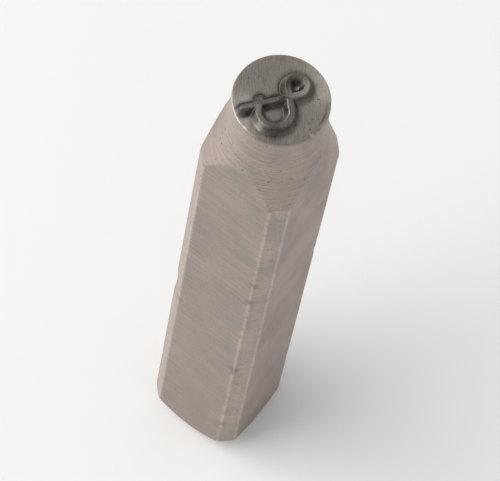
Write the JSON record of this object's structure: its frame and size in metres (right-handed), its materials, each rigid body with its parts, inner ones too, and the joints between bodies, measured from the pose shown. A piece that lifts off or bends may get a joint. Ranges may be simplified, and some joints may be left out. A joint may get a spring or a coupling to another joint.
{
  "type": "metal letter stamp",
  "caption": "Square steel letter punch with chamfered long edges, a round die face carrying a raised mirrored ampersand, and a bevelled end to strike with a hammer.",
  "frame": {"origin": "centre of the struck end, on which the stamp stands", "axes": "+Z along the bar from the struck end to the die face, flats facing X and Y, top of the character at +Y"},
  "size_m": [0.01, 0.01, 0.07],
  "materials": {
    "tool_steel": "satin ground tool steel, faintly tarnished, with fine scratches and dark specks"
  },
  "bodies": {
    "root": {"letter_stamp": "tool_steel"}
  },
  "joints": []
}
